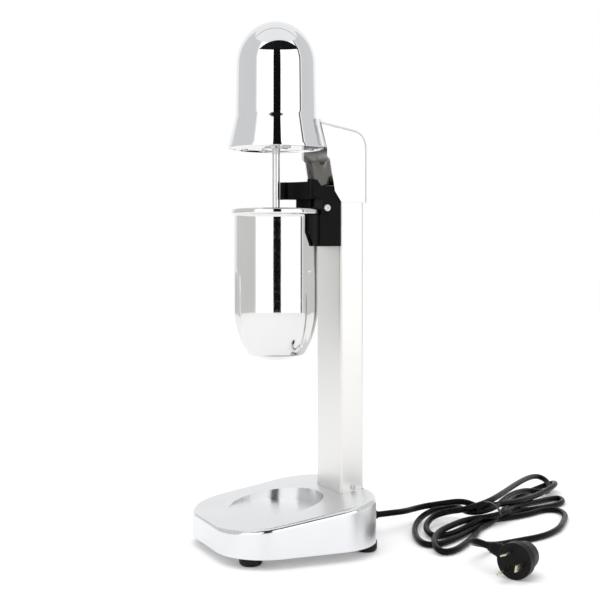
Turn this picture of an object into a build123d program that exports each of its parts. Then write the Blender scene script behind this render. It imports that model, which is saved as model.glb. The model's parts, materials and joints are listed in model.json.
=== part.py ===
"""Milkshake mixer: wedge base, rectangular column, bell-shaped motor head,
hanging cup on a switch bracket, and a mains cord tied in a hank.

Units are millimetres, +Z is up, the cup side is -Y and the column is at +Y.
The origin is on the floor under the middle of the base.
"""
import math
import os

from build123d import *

# ---------------------------------------------------------------- driving sizes
# base
base_depth = 164.0
base_front_half_width = 76.0
base_rear_half_width = 86.0
base_front_corner_r = 50.0
base_rear_corner_r = 50.0
base_front_height = 24.5
base_slope_deg = 7.6
base_edge_round = 5.0
base_wall = 4.0
foot_height = 10.0
foot_r = 11.0
foot_front_x = 50.0
foot_rear_x = 52.0
foot_front_inset = 27.0
foot_rear_inset = 15.0
foot_screw_r = 2.0
foot_screw_head_r = 4.0
boss_r = 6.5
base_plate_thickness = 1.5
recess_r = 47.2
recess_floor_height = 28.5

# spindle line and column
spindle_setback = 75.0
column_width = 55.0
column_depth = 26.0
column_wall = 2.0
column_corner_r = 2.5
column_top_z = 400.0
column_gap_to_spindle = 58.5
anchor_bolt_r = 2.5
anchor_bolt_x = 18.0
anchor_bottom_z = 42.0
anchor_height = 27.0
anchor_bolt_grip = 9.0
cable_way_r = 6.0
side_screw_r = 1.9
side_screw_setback = 14.0
side_screw_above_anchor = 16.0
rear_screw_z = (362.0, 388.0)
bracket_screw_x = 15.0
bracket_screw_z = (308.0, 322.0)

# motor head
bell_r = 40.3
bell_shoulder_r = 39.4
bell_rim_r = 48.0
bell_rim_z = 397.0
bell_crease_z = 430.6
bell_shoulder_z = 481.0
bell_dome_height = 43.2
bell_wall = 1.4

# arm
arm_wall = 2.0
arm_rear_gap = 1.8
arm_front_top_z = 427.2
arm_top_drop = 0.183
arm_rear_corner_r = 18.0
arm_bottom_z = 344.0
arm_knee_z = 355.0
arm_throat_z = 386.0
arm_chin_z = 396.0
arm_edge_round = 4.0
arm_front_reach = 20.0
arm_screw_length = 10.0
underside_inset = 3.5
underside_thickness = 1.5
saddle_thickness = 3.6
saddle_half_angle = 46.0
saddle_z = 412.0
saddle_screw_angle = 24.0
saddle_screw_r = 1.9
lead_hole_r = 5.0

# cup
cup_r = 41.7
cup_wall = 0.8
cup_bead_r = 44.45
cup_bead_height = 6.3
cup_height = 149.3
cup_rim_z = 337.3
cup_shoulder_height = 51.0
cup_foot_r = 28.3
cup_foot_height = 4.5
cup_flat_r = 19.0

# bracket, cradle and lever
bracket_bottom_z = 300.0
bracket_top_z = 360.0
cradle_thickness = 2.6
cradle_half_angle = 68.0
cradle_tip_height = 15.0
lever_inner_r = 38.0
lever_thickness = 2.6
lever_bottom_z = 348.0
lever_height = 18.0
lever_half_angle = 60.0
lever_pivot_back = 41.5
lever_pivot_z = 338.0
lever_ear_thickness = 2.2
lever_swing_room = 4.6
ear_gap = 0.6
pivot_r = 2.2
pivot_head_r = 3.5
pivot_thread_r = 1.6
pocket_half_width = 11.0
pocket_z = 340.0
plunger_z = 352.0
switch_setback = 46.5
bracket_screw_web = 6.0
bracket_head_r = 3.4

# drive
shaft_r = 4.0
spindle_r = 3.75
agitator_r = 14.0
agitator_height_in_cup = 24.0
bearing_cap_r = 11.75
stator_outer_r = 31.0
stator_inner_r = 18.0
stator_height = 30.0
stator_bottom_z = 430.0
rotor_r = 17.4
coil_outer_r = 23.8
coil_inner_r = 18.6
coil_height = 9.0
pillar_x = 27.0
pillar_r = 1.9
plate_screw_r = 1.5
bearing_z = 401.4
bearing_r = 11.0
bearing_height = 7.0
bearing_cap_height = 1.6
bearing_cap_round = 0.7
upper_bearing_r = 9.5
upper_bearing_height = 6.0
end_frame_z = 490.0
end_frame_height = 8.0
commutator_r = 10.0
commutator_z = 470.0
commutator_height = 13.0
fan_r = 20.0
fan_z = 410.5
shaft_bottom_z = 392.0
shaft_top_z = 500.0
stud_r = 2.5
stud_length = 12.0
inner_cable_r = 2.6
terminal_z = 402.0
terminal_overhang = 4.0

# cord
cord_d = 6.4
cord_exit_x = 0.0
cord_exit_z = 20.0
gland_r = 5.4
gland_flange_r = 8.0
relief_length = 26.0
hank_height = 14.0
hank_waist_length = 60.0
tie_place = (22.0, 231.0, 13.4)
tie_half_width = 15.0
tie_half_height = 12.0
plug_r = 16.6
plug_front = (195.3, 139.8, plug_r + 0.2)
plug_depth = 30.0
plug_disc_depth = 11.0
plug_back_r = 12.4
plug_relief_setback = 13.5
plug_relief_length = 14.0
plug_relief_rise = 12.0

# clearances
slip = 0.2
running = 0.05
contact_gap = 0.1
seat_gap = 0.3

# ------------------------------------------------------------- derived places
spindle_y = spindle_setback - base_depth / 2
base_front_y = -base_depth / 2
base_rear_y = base_depth / 2
base_bottom_z = foot_height
base_plate_top_z = base_bottom_z + base_plate_thickness
slope = math.tan(math.radians(base_slope_deg))
column_front_y = spindle_y + column_gap_to_spindle
column_rear_y = column_front_y + column_depth
arm_half_width = column_width / 2 + slip + arm_wall
arm_rear_y = column_rear_y + arm_rear_gap + arm_wall
cup_bottom_z = cup_rim_z - cup_height
bead_bottom_z = cup_rim_z - cup_bead_height
recess_floor_z = base_bottom_z + recess_floor_height
agitator_z = cup_bottom_z + agitator_height_in_cup
lever_pivot_y = spindle_y + lever_pivot_back
cradle_tip_y = spindle_y + 15.5
cradle_knee_y = spindle_y + 25.0
lever_outer_r = lever_inner_r + lever_thickness
lever_top_z = lever_bottom_z + lever_height
cradle_inner_r = cup_r + 0.6
cradle_outer_r = cradle_inner_r + cradle_thickness
head_plate_z = bell_rim_z + 1.2
head_plate_thickness = 3.0
head_plate_top_z = head_plate_z + head_plate_thickness
cord_r = cord_d / 2
side_screw_y = column_front_y + side_screw_setback
side_screw_z = anchor_bottom_z + side_screw_above_anchor


# ------------------------------------------------------------------- helpers
def block(x0, x1, y0, y1, z0, z1):
    """Box between two corners."""
    return Pos((x0 + x1) / 2, (y0 + y1) / 2, (z0 + z1) / 2) * Box(x1 - x0, y1 - y0, z1 - z0)


def rod(radius, z0, z1, x=0.0, y=spindle_y):
    """Upright cylinder."""
    return Pos(x, y, (z0 + z1) / 2) * Cylinder(radius, z1 - z0)


def ring(outer, inner, z0, z1, x=0.0, y=spindle_y):
    """Upright round tube."""
    return rod(outer, z0, z1, x, y) - rod(inner, z0 - 1, z1 + 1, x, y)


def rod_along(start, end, radius):
    """Cylinder from one point to another."""
    start = Vector(*start)
    way = Vector(*end) - start
    return extrude(Plane(start, z_dir=way) * Circle(radius), amount=way.length)


def turned(points, y=spindle_y):
    """Solid of revolution about the spindle line from a closed (radius, z) outline."""
    outline = Polyline(*[(r, 0, z) for r, z in points], close=True)
    return Pos(0, y, 0) * revolve(make_face(outline), axis=Axis.Z)


def wedge(half_angle, radius=200.0, z0=0.0, z1=600.0):
    """Sector about the spindle line that opens towards the column."""
    reach = math.radians(half_angle)
    side = (radius * math.sin(reach), radius * math.cos(reach))
    outline = Polyline((0, 0), side, (side[0], radius), (-side[0], radius), (-side[0], side[1]), close=True)
    return Pos(0, spindle_y, z0) * extrude(make_face(outline), amount=z1 - z0)


def screw(head_at, way, head_r, head_height, shank_r, shank_length):
    """Pan-head screw: head_at is under the head, way points from the head to the tip."""
    way = Vector(*way).normalized()
    under = Vector(*head_at)
    back = under - way * head_height
    head = extrude(Plane(under, z_dir=-way) * Circle(head_r), amount=head_height)
    head = fillet(head.faces().sort_by(Axis(back, way))[0].edges(), head_height * 0.45)
    drive = extrude(Plane(back, z_dir=way) * Rectangle(head_r * 1.1, head_r * 0.24), amount=head_height * 0.4)
    cross = extrude(Plane(back, z_dir=way) * Rectangle(head_r * 0.24, head_r * 1.1), amount=head_height * 0.4)
    shank = extrude(Plane(under, z_dir=way) * Circle(shank_r), amount=shank_length)
    return head - drive - cross + shank


def save(node, *solids):
    """Write one node, as one solid or as a group of separate solids."""
    flat = [solid for shape in solids for solid in shape.solids()]
    shape = flat[0] if len(flat) == 1 else Compound(children=flat)
    export_step(shape, os.path.join("parts", node + ".step"))


# ----------------------------------------------------------------------- base
def base_outline(inset):
    """Plan of the base: a trapezium with large rounded corners."""
    corners = [(-base_front_half_width, base_front_y), (base_front_half_width, base_front_y),
               (base_rear_half_width, base_rear_y), (-base_rear_half_width, base_rear_y)]
    face = make_face(Polyline(*corners, close=True))
    by_depth = face.vertices().sort_by(Axis.Y)
    face = fillet(by_depth[:2], base_front_corner_r)
    face = fillet(face.vertices().group_by(Axis.Y)[-1], base_rear_corner_r)
    return offset(face, -inset) if inset else face


def under_slope(z_front, depth=400.0):
    """Half-space below the sloping top, given by its height at the front edge."""
    profile = Polyline((base_front_y - 50, -50), (base_front_y - 50, z_front - 50 * slope),
                       (base_front_y + depth, z_front + depth * slope), (base_front_y + depth, -50), close=True)
    return Pos(-200, 0, 0) * extrude(Plane.YZ * make_face(profile), amount=400)


def foot_places():
    """Centres of the four feet, by name."""
    front_y = base_front_y + foot_front_inset
    rear_y = base_rear_y - foot_rear_inset
    return {"front_left": (-foot_front_x, front_y), "front_right": (foot_front_x, front_y),
            "rear_left": (-foot_rear_x, rear_y), "rear_right": (foot_rear_x, rear_y)}


def base_casting():
    """Hollow wedge with a round cup recess, a slot for the column and four screw bosses."""
    top_front_z = base_bottom_z + base_front_height
    tall = 120.0
    body = (Pos(0, 0, base_bottom_z) * extrude(base_outline(0), amount=tall)) & under_slope(top_front_z)
    top = body.faces().sort_by(Axis.Z)[-1]
    body = fillet(top.edges(), base_edge_round)
    ceiling = under_slope(top_front_z - base_wall)
    hollow = (Pos(0, 0, base_bottom_z - 1) * extrude(base_outline(base_wall), amount=tall)) & ceiling
    pad = rod(recess_r + base_wall, recess_floor_z - base_wall, recess_floor_z + tall)
    bosses = [rod(boss_r, base_plate_top_z, tall, x, y) for x, y in foot_places().values()]
    hollow = hollow - pad
    for boss in bosses:
        hollow = hollow - boss
    body = body - hollow - rod(recess_r, recess_floor_z, recess_floor_z + tall)
    body = body - block(-column_width / 2 - slip, column_width / 2 + slip, column_front_y - slip,
                        column_rear_y + slip, base_bottom_z - 1, base_bottom_z + tall)
    for x, y in foot_places().values():
        body = body - rod(foot_screw_r, base_bottom_z, base_plate_top_z + 12, x, y)
    return body - rod_along((cord_exit_x, base_rear_y - 12, cord_exit_z),
                            (cord_exit_x, base_rear_y + 5, cord_exit_z), gland_r + slip)


def base_plate():
    """Steel bottom plate inside the casting's skirt."""
    plate = Pos(0, 0, base_bottom_z) * extrude(base_outline(base_wall + slip), amount=base_plate_thickness)
    for x, y in foot_places().values():
        plate = plate - rod(foot_screw_r + slip, 0, 50, x, y)
    for x, y in anchor_bolt_places():
        plate = plate - rod(anchor_bolt_r + slip, 0, 50, x, y)
    return plate


def foot(x, y):
    """Rubber dome foot with a screw hole and a counterbore."""
    dome = Pos(x, y, foot_height / 2) * Cylinder(foot_r, foot_height)
    dome = fillet(dome.edges().sort_by(Axis.Z)[0], foot_r * 0.35)
    return dome - rod(foot_screw_r + slip, -1, foot_height + 1, x, y) - rod(foot_screw_head_r + slip, -1, 5, x, y)


def foot_screws():
    """Screws that hold each foot and the plate to the casting's bosses."""
    return [screw((x, y, 5), (0, 0, 1), foot_screw_head_r, 2.4, foot_screw_r - 0.1, 15)
            for x, y in foot_places().values()]


# --------------------------------------------------------------------- column
def anchor_bolt_places():
    """Places of the two long bolts under the column."""
    y = (column_front_y + column_rear_y) / 2
    return [(-anchor_bolt_x, y), (anchor_bolt_x, y)]


def side_screw_lines():
    """Start and end of the two screws low on the column's sides."""
    return [((x * column_width / 2, side_screw_y, side_screw_z), (-x, 0, 0)) for x in (-1, 1)]


def rear_screw_lines():
    """Screws through the arm's back into the column."""
    return [((0, arm_rear_y, z), (0, -1, 0)) for z in rear_screw_z]


def bracket_screw_lines():
    """Screws from the cup bracket's recess into the column's front."""
    return [((x, column_front_y - bracket_screw_web, z), (0, 1, 0))
            for x in (-bracket_screw_x, bracket_screw_x) for z in bracket_screw_z]


def bore(line, radius, before=1.0, length=30.0):
    """Cutter along a screw line."""
    start, way = Vector(*line[0]), Vector(*line[1])
    return rod_along(start - way * before, start + way * length, radius)


def column_tube():
    """Rectangular steel tube from the base plate up into the arm."""
    outer = block(-column_width / 2, column_width / 2, column_front_y, column_rear_y,
                  base_plate_top_z, column_top_z)
    outer = fillet(outer.edges().filter_by(Axis.Z), column_corner_r)
    wall = column_wall
    tube = outer - block(-column_width / 2 + wall, column_width / 2 - wall, column_front_y + wall,
                         column_rear_y - wall, 0, column_top_z + 1)
    tube = tube - rod_along((cord_exit_x, column_rear_y - 5, cord_exit_z),
                            (cord_exit_x, column_rear_y + 5, cord_exit_z), gland_r + slip)
    for line in side_screw_lines() + bracket_screw_lines():
        tube = tube - bore(line, side_screw_r + slip, length=12)
    for line in rear_screw_lines():
        tube = tube - bore(line, side_screw_r + slip, length=12)
    return tube


def inner_block(z0, z1):
    """Aluminium block that fills the column's bore, with a way for the cable."""
    gap = column_wall + slip
    body = block(-column_width / 2 + gap, column_width / 2 - gap, column_front_y + gap,
                 column_rear_y - gap, z0, z1)
    return body - rod(cable_way_r, z0 - 1, z1 + 1, 0, (column_front_y + column_rear_y) / 2)


def column_anchor_block():
    """Block in the column's foot that the base bolts and the side screws thread into."""
    body = inner_block(anchor_bottom_z, anchor_bottom_z + anchor_height)
    for x, y in anchor_bolt_places():
        body = body - rod(anchor_bolt_r, anchor_bottom_z - 1, anchor_bottom_z + anchor_bolt_grip + 1, x, y)
    for line in side_screw_lines():
        body = body - bore(line, side_screw_r, length=10.5)
    return body


def column_top_block():
    """Block in the column's top that the arm's rear screws thread into."""
    body = inner_block(rear_screw_z[0] - 10, rear_screw_z[1] + 8)
    body = body - block(-cable_way_r, cable_way_r, column_front_y, column_front_y + column_depth / 2,
                        0, column_top_z)
    for line in rear_screw_lines():
        body = body - bore(line, side_screw_r, length=arm_screw_length + 0.5)
    return body


# ------------------------------------------------------------------------ arm
def arm_profile(inset=0.0, open_by=0.0):
    """Side profile of the arm; open_by carries the front and bottom outwards."""
    front_y = spindle_y + arm_front_reach - open_by
    rear_y = arm_rear_y - inset
    top_rear_z = arm_front_top_z - arm_top_drop * (rear_y - spindle_y - arm_front_reach) - inset
    side = column_front_y
    drop = open_by
    points = [(front_y, arm_front_top_z + arm_top_drop * open_by - inset), (rear_y, top_rear_z),
              (rear_y, arm_bottom_z - drop), (side - drop, arm_bottom_z - drop),
              (side - 7.4 - drop, arm_knee_z - drop), (side - 12.4 - drop, arm_throat_z - drop),
              (side - 22.0 - drop, arm_chin_z - drop), (front_y, arm_chin_z - drop)]
    face = make_face(Polyline(*points, close=True))
    corner = face.vertices().sort_by_distance((rear_y, top_rear_z, 0))[0]
    return fillet(corner, arm_rear_corner_r - inset)


def bell_envelope(gap):
    """Filled bell shape, grown by a gap, that cuts whatever hugs the bell."""
    return turned([(0, bell_rim_z - 60), (bell_rim_r + gap, bell_rim_z - 60), (bell_rim_r + gap, bell_rim_z),
                   (bell_r + gap, bell_crease_z + gap / 2), (bell_r + gap, bell_shoulder_z), (0, bell_shoulder_z)])


def arm_housing():
    """Folded sheet arm: two cheeks, a top and a back that slip over the column like a sleeve."""
    half = arm_half_width
    outer = Pos(-half, 0, 0) * extrude(Plane.YZ * arm_profile(), amount=2 * half)
    long_edges = [edge for edge in outer.edges().filter_by(GeomType.LINE)
                  if edge.center().Z > arm_chin_z + 5 and abs(abs(edge.center().X) - half) < 0.01]
    outer = fillet(long_edges + [edge for edge in outer.edges().filter_by(GeomType.CIRCLE)], arm_edge_round)
    inner_half = half - arm_wall
    inner = Pos(-inner_half, 0, 0) * extrude(Plane.YZ * arm_profile(arm_wall, 30.0), amount=2 * inner_half)
    body = outer - inner - bell_envelope(saddle_thickness + slip)
    for line in rear_screw_lines():
        body = body - bore(line, side_screw_r + slip, length=10)
    return body


def arm_underside():
    """Polished plate that closes the arm below, between the cheeks, from the bell to the column."""
    y0 = column_front_y
    inset = underside_inset
    points = [(y0 - 22.0 + inset, arm_chin_z), (y0 - 12.4 + inset, arm_throat_z),
              (y0 - 8.2 + inset, bracket_top_z + 1.5), (y0 - slip, bracket_top_z + 1.5)]
    thick = underside_thickness
    back = [(y0 - slip, bracket_top_z + 1.5 + thick), (y0 - 8.2 + inset + thick, bracket_top_z + 1.5 + thick),
            (y0 - 12.4 + inset + thick, arm_throat_z + thick / 2), (y0 - 22.0 + inset, arm_chin_z + 1.6 * thick)]
    face = make_face(Polyline(*(points + back), close=True))
    half = arm_half_width - arm_wall - slip
    plate = Pos(-half, 0, 0) * extrude(Plane.YZ * face, amount=2 * half)
    return plate - bell_envelope(saddle_thickness + slip)


# ----------------------------------------------------------------------- head
def bell_face(inset=0.0):
    """Half section of the bell from the rim to the crown, as a filled face."""
    line = Line((0, bell_rim_z), (bell_rim_r - inset, bell_rim_z))
    flare = Line(line @ 1, (bell_r - inset, bell_crease_z))
    side = Line(flare @ 1, (bell_shoulder_r - inset, bell_shoulder_z))
    radius, height = bell_shoulder_r - inset, bell_dome_height - inset
    middle = (radius * math.sqrt(0.5), bell_shoulder_z + height * math.sqrt(0.5))
    dome = Spline(side @ 1, middle, (0, bell_shoulder_z + height), tangents=[(0, 1), (-1, 0)])
    axis = Line(dome @ 1, (0, bell_rim_z))
    return make_face([line, flare, side, dome, axis])


def head_bell():
    """Spun chrome bell over the motor, open below, with a cable hole and saddle screw holes."""
    outer = revolve(Plane.XZ * bell_face(), axis=Axis.Z)
    inner = revolve(Plane.XZ * bell_face(bell_wall), axis=Axis.Z)
    body = outer - inner - Pos(0, 0, bell_rim_z) * Cylinder(bell_rim_r - bell_wall, 1.0)
    body = Pos(0, spindle_y, 0) * body
    for line in saddle_screw_lines():
        body = body - bore(line, saddle_screw_r + slip, before=12, length=6)
    return body - Pos(0, spindle_y + bell_r + 3, saddle_z) * Rot(90, 0, 0) * Cylinder(lead_hole_r, 16)


def saddle_screw_lines():
    """Screws from inside the bell outwards into the saddle."""
    lines = []
    for side in (-1, 1):
        angle = math.radians(side * saddle_screw_angle)
        way = (math.sin(angle), math.cos(angle), 0)
        radius = bell_flare_radius(saddle_z) - bell_wall - 1.0
        lines.append(((way[0] * radius, spindle_y + way[1] * radius, saddle_z), way))
    return lines


def bell_flare_radius(z):
    """Outer radius of the bell's flare at a height."""
    return bell_rim_r + (bell_r - bell_rim_r) * (z - bell_rim_z) / (bell_crease_z - bell_rim_z)


def head_saddle():
    """Conical strip behind the bell's flare that joins the bell to the arm."""
    z0, z1 = bell_rim_z + 1.0, bell_crease_z - 4.5
    near, far = slip / 2, saddle_thickness
    band = turned([(bell_flare_radius(z0) + near, z0), (bell_flare_radius(z0) + far, z0),
                   (bell_flare_radius(z1) + far, z1), (bell_flare_radius(z1) + near, z1)])
    band = band & wedge(saddle_half_angle)
    for line in saddle_screw_lines():
        band = band - bore(line, saddle_screw_r, length=12)
    return band - Pos(0, spindle_y + bell_r + 3, saddle_z) * Rot(90, 0, 0) * Cylinder(lead_hole_r, 20)


def head_bottom_plate():
    """Disc that closes the bell and carries the lower bearing."""
    disc = rod(bell_flare_radius(head_plate_top_z) - bell_wall - slip, head_plate_z, head_plate_top_z)
    boss = rod(bearing_r + 2.5, head_plate_top_z, bearing_z + bearing_height)
    body = disc + boss - rod(bearing_r, bearing_z, bearing_z + bearing_height + 1) - rod(bearing_r - 2, 0, 600)
    for x, y in pillar_places():
        body = body - rod(pillar_r + slip, 0, 600, x, y)
    for x, y in plate_screw_places():
        body = body - rod(plate_screw_r + slip, 0, 600, x, y)
    return body


def plate_screw_places():
    """Three screws near the rim of the bottom plate."""
    radius = bell_rim_r - 9.0
    return [(radius * math.sin(math.radians(a)), spindle_y - radius * math.cos(math.radians(a)))
            for a in (60, 180, 300)]


def head_rim_ring():
    """Ring inside the rim, spun into the bell, that the bottom plate screws to."""
    radius = bell_rim_r - bell_wall - 2.0
    body = ring(radius - 1.0, radius - 10.0, head_plate_top_z, head_plate_top_z + 4.0)
    for x, y in plate_screw_places():
        body = body - rod(plate_screw_r, 0, 600, x, y)
    return body


def bearing_cap():
    """Dark dust cap under the bottom plate, round the spindle."""
    body = rod(bearing_cap_r, head_plate_z - bearing_cap_height, head_plate_z)
    body = fillet(body.edges().sort_by(Axis.Z)[0], bearing_cap_round)
    return body - rod(shaft_r + 0.5, 0, 600)


# ---------------------------------------------------------------------- motor
def pillar_places():
    """Two through bolts, left and right of the shaft."""
    return [(-pillar_x, spindle_y), (pillar_x, spindle_y)]


def motor_stator():
    """Laminated stator core with two holes for the through bolts."""
    body = ring(stator_outer_r, stator_inner_r, stator_bottom_z, stator_bottom_z + stator_height)
    for x, y in pillar_places():
        body = body - rod(pillar_r + slip, 0, 600, x, y)
    return body


def coil_pair(z0, z1, half_angle=52.0):
    """Two field coil ends, front and rear."""
    rear = ring(coil_outer_r, coil_inner_r, z0, z1) & wedge(half_angle)
    front = mirror(rear, about=Plane.XZ.offset(-spindle_y))
    return rear, front


def field_windings():
    """Ends of the field coils above and below the core."""
    top = stator_bottom_z + stator_height
    return (*coil_pair(top, top + coil_height), *coil_pair(stator_bottom_z - coil_height, stator_bottom_z))


def motor_end_frame():
    """Bridge over the commutator with the upper bearing's seat."""
    z0 = end_frame_z
    body = block(-pillar_x - 5, pillar_x + 5, spindle_y - 9, spindle_y + 9, z0, z0 + end_frame_height)
    body = body + rod(upper_bearing_r + 2, z0, z0 + end_frame_height)
    body = body - rod(upper_bearing_r, z0 - 1, z0 + upper_bearing_height) - rod(upper_bearing_r - 2, 0, 600)
    for x, y in pillar_places():
        body = body - rod(pillar_r + slip, 0, 600, x, y)
    return body


def motor_spacers():
    """Sleeves on the through bolts, below the core and between the core and the bridge."""
    spans = [(head_plate_top_z, stator_bottom_z), (stator_bottom_z + stator_height, end_frame_z)]
    return [ring(pillar_r + 2.2, pillar_r + slip, z0, z1, x, y) for x, y in pillar_places() for z0, z1 in spans]


def motor_bolts():
    """Long through bolts with nuts on the bridge."""
    top = end_frame_z + end_frame_height
    bolts = []
    for x, y in pillar_places():
        head = screw((x, y, head_plate_z), (0, 0, 1), 3.6, 2.2, pillar_r, top + 5 - head_plate_z)
        nut = Pos(x, y, top) * extrude(RegularPolygon(4.0, 6), amount=3.2) - rod(pillar_r, 0, 600, x, y)
        bolts += [head, nut]
    return bolts


def brush_holders():
    """Two brass guides for the brushes, front and rear of the commutator."""
    guides = []
    for way in (-1, 1):
        y0, y1 = sorted((spindle_y + way * (commutator_r + 2), spindle_y + way * (commutator_r + 17)))
        guide = block(-5, 5, y0, y1, commutator_z + 1, commutator_z + 11)
        guides.append(guide - block(-3, 3, y0 - 1, y1 + 1, commutator_z + 3, commutator_z + 9))
    return guides


def carbon_brushes():
    """Two carbon blocks that ride on the commutator."""
    reach = commutator_r + running
    return [block(-3 + running, 3 - running, *sorted((spindle_y + way * reach, spindle_y + way * (reach + 14))),
                  commutator_z + 3 + running, commutator_z + 9 - running) for way in (-1, 1)]


def commutator():
    """Copper drum, slotted between its bars."""
    body = ring(commutator_r, shaft_r, commutator_z, commutator_z + commutator_height)
    slot = block(commutator_r - 1.2, commutator_r + 1, -0.25, 0.25, commutator_z + 0.001,
                 commutator_z + commutator_height + 1)
    for index in range(12):
        body = body - Pos(0, spindle_y, 0) * Rot(0, 0, 30 * index) * slot
    return body


def rotor_core():
    """Laminated armature with twelve winding slots."""
    body = ring(rotor_r, shaft_r, stator_bottom_z, stator_bottom_z + stator_height)
    slot = block(rotor_r - 6, rotor_r - 1.5, -1.6, 1.6, 0, 600) + block(rotor_r - 3, rotor_r + 1, -0.8, 0.8, 0, 600)
    for index in range(12):
        body = body - Pos(0, spindle_y, 0) * Rot(0, 0, 30 * index + 15) * slot
    return body


def armature_windings():
    """Rounded coil heads above and below the armature core."""
    heads = []
    for z0, z1 in ((stator_bottom_z - 7, stator_bottom_z),
                   (stator_bottom_z + stator_height, stator_bottom_z + stator_height + 8)):
        head = ring(rotor_r - 2.4, shaft_r, z0, z1)
        outer = head.edges().filter_by(GeomType.CIRCLE).group_by(SortBy.RADIUS)[-1]
        heads.append(fillet(outer, 2.2))
    return heads


def motor_shaft():
    """Steel shaft through both bearings with a threaded socket for the spindle."""
    body = rod(shaft_r, shaft_bottom_z, shaft_top_z)
    return body - rod(stud_r, shaft_bottom_z - 1, shaft_bottom_z + stud_length + 1)


def cooling_fan():
    """Radial fan on the shaft below the core."""
    hub = ring(shaft_r + 4, shaft_r, fan_z, fan_z + 9)
    plate = ring(fan_r, shaft_r, fan_z + 7.6, fan_z + 9)
    body = hub + plate
    blade = block(shaft_r + 3, fan_r - 0.5, -0.6, 0.6, fan_z, fan_z + 8)
    for index in range(8):
        body = body + Pos(0, spindle_y, 0) * Rot(0, 0, 45 * index) * blade
    return body


def ball_bearing(z0, height, outer, inner):
    """Closed ball bearing, as one ring with grooved faces."""
    body = ring(outer, inner, z0, z0 + height)
    middle = (outer + inner) / 2
    for z in (z0 - 0.5, z0 + height - 0.5):
        body = body - ring(middle + 1.2, middle - 1.2, z, z + 1)
    return body


def spindle():
    """Polished drive rod with a threaded stud at the top and a pin end for the agitator."""
    body = rod(spindle_r, agitator_z, shaft_bottom_z - 0.1)
    stud = rod(stud_r - running, shaft_bottom_z - 0.1, shaft_bottom_z + stud_length)
    return body + stud + rod(2.0, agitator_z - 7, agitator_z)


def agitator():
    """Corrugated mixing disc on the end of the spindle."""
    disc = ring(agitator_r, 2.0, agitator_z - 3.4, agitator_z)
    groove = Pos(agitator_r + 1.2, 0, agitator_z - 2) * Cylinder(2.6, 12)
    for index in range(8):
        disc = disc - Pos(0, spindle_y, 0) * Rot(0, 0, 45 * index) * groove
    return disc


def agitator_nut():
    """Domed nut below the mixing disc."""
    body = rod(3.6, agitator_z - 8.4, agitator_z - 3.4)
    body = fillet(body.edges().sort_by(Axis.Z)[0], 2.0)
    return body - rod(2.0, agitator_z - 7, agitator_z)


# ------------------------------------------------------------------------ cup
def cup_section(inset):
    """Half section of the cup's body from its foot up, inset by the wall."""
    z0 = cup_bottom_z + inset
    shoulder = (cup_r - inset, cup_bottom_z + cup_shoulder_height)
    floor = Line((0, z0), (cup_flat_r - inset, z0))
    foot = Line(floor @ 1, (cup_foot_r - inset, cup_bottom_z + cup_foot_height + inset))
    flank = TangentArc(shoulder, foot @ 1, tangent=(0, -1))
    side = Line(shoulder, (cup_r - inset, cup_rim_z + (1 if inset else -0.6)))
    top = Line(side @ 1, (0, (side @ 1).Y))
    axis = Line(top @ 1, (0, z0))
    return make_face([floor, foot, flank, side, top, axis])


def cup():
    """Deep-drawn cup with a rolled bead that hangs on the cradle."""
    body = revolve(Plane.XZ * cup_section(0), axis=Axis.Z)
    bead = Pos(0, 0, bead_bottom_z + cup_bead_height / 2) * Cylinder(cup_bead_r, cup_bead_height)
    bead = fillet(bead.edges(), 2.2)
    body = body + bead
    body = body - revolve(Plane.XZ * cup_section(cup_wall), axis=Axis.Z)
    return Pos(0, spindle_y, 0) * body


# ----------------------------------------------------------- bracket and lever
def cup_bracket():
    """Black block on the column's front with a concave face and a pocket for the switch."""
    half = column_width / 2
    body = block(-half, half, spindle_y + 20, column_front_y, bracket_bottom_z, bracket_top_z)
    body = fillet(body.edges().filter_by(Axis.X).group_by(Axis.Z)[-1], 2.0)
    body = body - rod(cradle_outer_r + slip / 2, 0, bead_bottom_z - 0.2)
    body = body - rod(cup_bead_r + 0.8, bead_bottom_z - 0.2, 600)
    lever_room = ring(lever_outer_r + lever_swing_room, 10, lever_bottom_z - 2, 600)
    body = body - lever_room
    body = body - block(-pocket_half_width, pocket_half_width, 0, column_front_y - 1.5, pocket_z, 600)
    for line in bracket_screw_lines():
        body = body - bore(line, side_screw_r + slip, length=10)
        body = body - rod_along((line[0][0], spindle_y, line[0][2]), line[0], bracket_head_r + slip)
    for x in (-half, half):
        side = 1 if x > 0 else -1
        line = ((x, lever_pivot_y, lever_pivot_z), (-side, 0, 0))
        body = body - bore(line, pivot_thread_r, length=5.5)
    return body


def cup_cradle():
    """C-shaped steel band that the cup's bead hangs on."""
    top = bead_bottom_z - contact_gap
    band = ring(cradle_outer_r, cradle_inner_r, bracket_bottom_z, top) & wedge(cradle_half_angle)
    for side in (-1, 1):
        far = Vector(side * 60, cradle_knee_y, 0)
        near = Vector(side * 60, spindle_y - 60, 0)
        profile = Polyline((far.Y, bracket_bottom_z - 1), (near.Y, bracket_bottom_z - 1),
                           (near.Y, top - cradle_tip_height), (cradle_tip_y, top - cradle_tip_height), close=True)
        cutter = extrude(Plane.YZ * make_face(profile), amount=side * 80)
        band = band - cutter
    for line in bracket_screw_lines():
        band = band - rod_along((line[0][0], spindle_y, line[0][2]), line[0], bracket_head_r + slip)
    return band


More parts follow.
